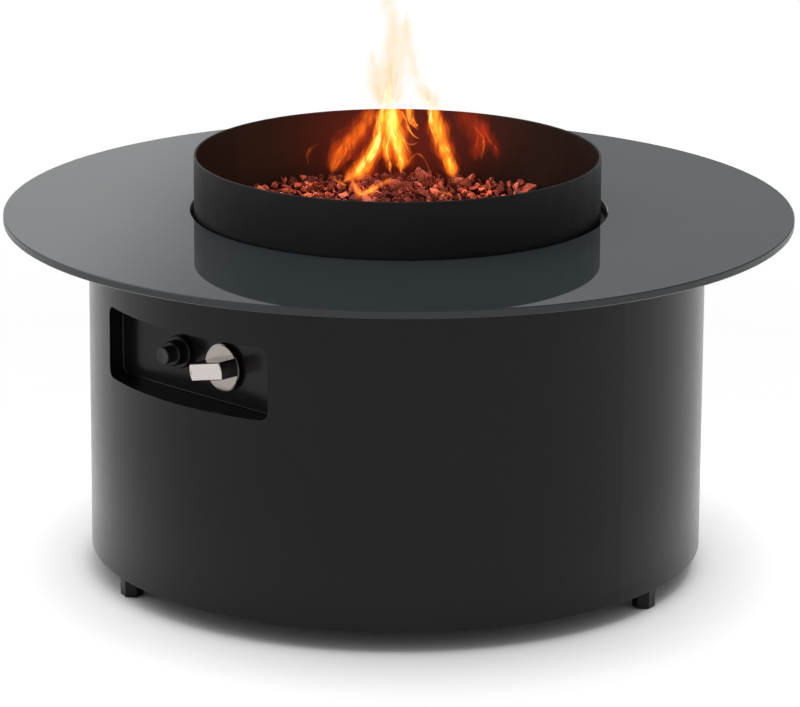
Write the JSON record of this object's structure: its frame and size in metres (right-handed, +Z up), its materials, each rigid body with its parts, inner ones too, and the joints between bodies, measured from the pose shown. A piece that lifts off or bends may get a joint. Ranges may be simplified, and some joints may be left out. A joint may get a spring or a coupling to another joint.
{
  "type": "gas fire pit table",
  "caption": "Round gas fire pit table: steel drum on levelling feet, tinted glass top around a raised fire bowl of lava rock, recessed valve knob and igniter.",
  "frame": {"origin": "on the floor, on the axis of the drum", "axes": "+Z up; -Y faces the control recess, so the knob and igniter axes run along Y; +X to the right seen from the controls"},
  "size_m": [0.7999, 0.8, 0.426],
  "materials": {
    "drum_paint": "satin black powder coat",
    "bowl_paint": "matt black heat-resistant coat",
    "smoked_glass": "polished, tinted nearly opaque",
    "black_plastic": "fine satin",
    "grey_plastic": "fine satin",
    "black_rubber": "matt",
    "hose_rubber": "matt",
    "zinc_steel": "bright zinc plate",
    "stainless_steel": "brushed",
    "satin_knob": "satin metallised",
    "valve_alloy": "die-cast",
    "pipe_aluminium": "drawn tube",
    "brass": "machined",
    "copper": "drawn",
    "ceramic": "glazed",
    "lava_rock": "rough porous stone",
    "battery_sleeve": "plain sleeve",
    "wire_sleeve": "silicone sleeve"
  },
  "bodies": {
    "root": {"base_shell": "drum_paint", "top_ring": "drum_paint", "bottom_ring": "drum_paint", "control_tray": "drum_paint", "tray_nuts": "zinc_steel", "foot_nuts": "zinc_steel", "deck_plate": "drum_paint", "deck_screws": "zinc_steel", "deck_nuts": "zinc_steel", "glass_bumpers": "black_rubber", "fire_bowl": "bowl_paint", "bowl_screws": "zinc_steel", "bowl_nuts": "zinc_steel", "heat_shield": "zinc_steel", "shield_spacers": "zinc_steel", "shield_nuts": "zinc_steel", "lava_rocks": "lava_rock", "burner_ring": "stainless_steel", "burner_saddles": "stainless_steel", "burner_nut": "zinc_steel", "air_mixer": "zinc_steel", "jet_elbow": "brass", "gas_jet": "brass", "pilot_hood": "stainless_steel", "pilot_bracket": "stainless_steel", "electrode_insulator": "ceramic", "electrode_rod": "stainless_steel", "thermocouple_tip": "stainless_steel", "thermocouple_nut": "brass", "gas_valve": "valve_alloy", "valve_nuts": "zinc_steel", "valve_cap": "brass", "stem_spring": "stainless_steel", "igniter_body": "black_plastic", "igniter_locknut": "black_plastic", "igniter_spring": "stainless_steel", "battery_cell": "battery_sleeve", "inlet_fitting": "brass", "inlet_nut": "brass", "hose_elbow": "brass", "hose_ends": "brass", "supply_hose": "hose_rubber", "hose_clips": "zinc_steel", "burner_pipe": "pipe_aluminium", "pipe_nuts": "brass", "thermocouple_lead": "copper", "ignition_wire": "wire_sleeve"},
    "glass": {"glass_top": "smoked_glass"},
    "stem_carrier": {"stem_collar": "brass"},
    "knob": {"control_knob": "satin_knob", "valve_stem": "brass"},
    "igniter_cap": {"igniter_cap": "black_plastic"},
    "igniter_button": {"igniter_button": "grey_plastic"},
    "foot_left": {"foot_glide_left": "black_plastic", "foot_stud_left": "zinc_steel"},
    "foot_right": {"foot_glide_right": "black_plastic", "foot_stud_right": "zinc_steel"},
    "foot_rear": {"foot_glide_rear": "black_plastic", "foot_stud_rear": "zinc_steel"}
  },
  "joints": [
    {"name": "glass_lift", "type": "slide", "parent": "root", "child": "glass", "axis": [0, 0, 1], "range_m": [0, 0.08]},
    {"name": "knob_press", "type": "slide", "parent": "root", "child": "stem_carrier", "axis": [0, 1, 0], "range_m": [0, 0.003], "stiffness_N_per_m": 1200, "springref_m": -0.004, "deforming": ["stem_spring"]},
    {"name": "knob_turn", "type": "hinge", "parent": "stem_carrier", "child": "knob", "pos_m": [0.0345, -0.272, 0.2628], "axis": [0, -1, 0], "range_deg": [-103, 77]},
    {"name": "igniter_cap_unscrew", "type": "slide", "parent": "root", "child": "igniter_cap", "axis": [0, -1, 0], "range_m": [0, 0.008]},
    {"name": "igniter_press", "type": "slide", "parent": "igniter_cap", "child": "igniter_button", "axis": [0, 1, 0], "range_m": [0, 0.003], "stiffness_N_per_m": 600, "springref_m": -0.003, "deforming": ["igniter_spring"]},
    {"name": "foot_left_screw", "type": "slide", "parent": "root", "child": "foot_left", "axis": [0, 0, -1], "range_m": [0, 0.015]},
    {"name": "foot_right_screw", "type": "slide", "parent": "root", "child": "foot_right", "axis": [0, 0, -1], "range_m": [0, 0.015]},
    {"name": "foot_rear_screw", "type": "slide", "parent": "root", "child": "foot_rear", "axis": [0, 0, -1], "range_m": [0, 0.015]}
  ]
}
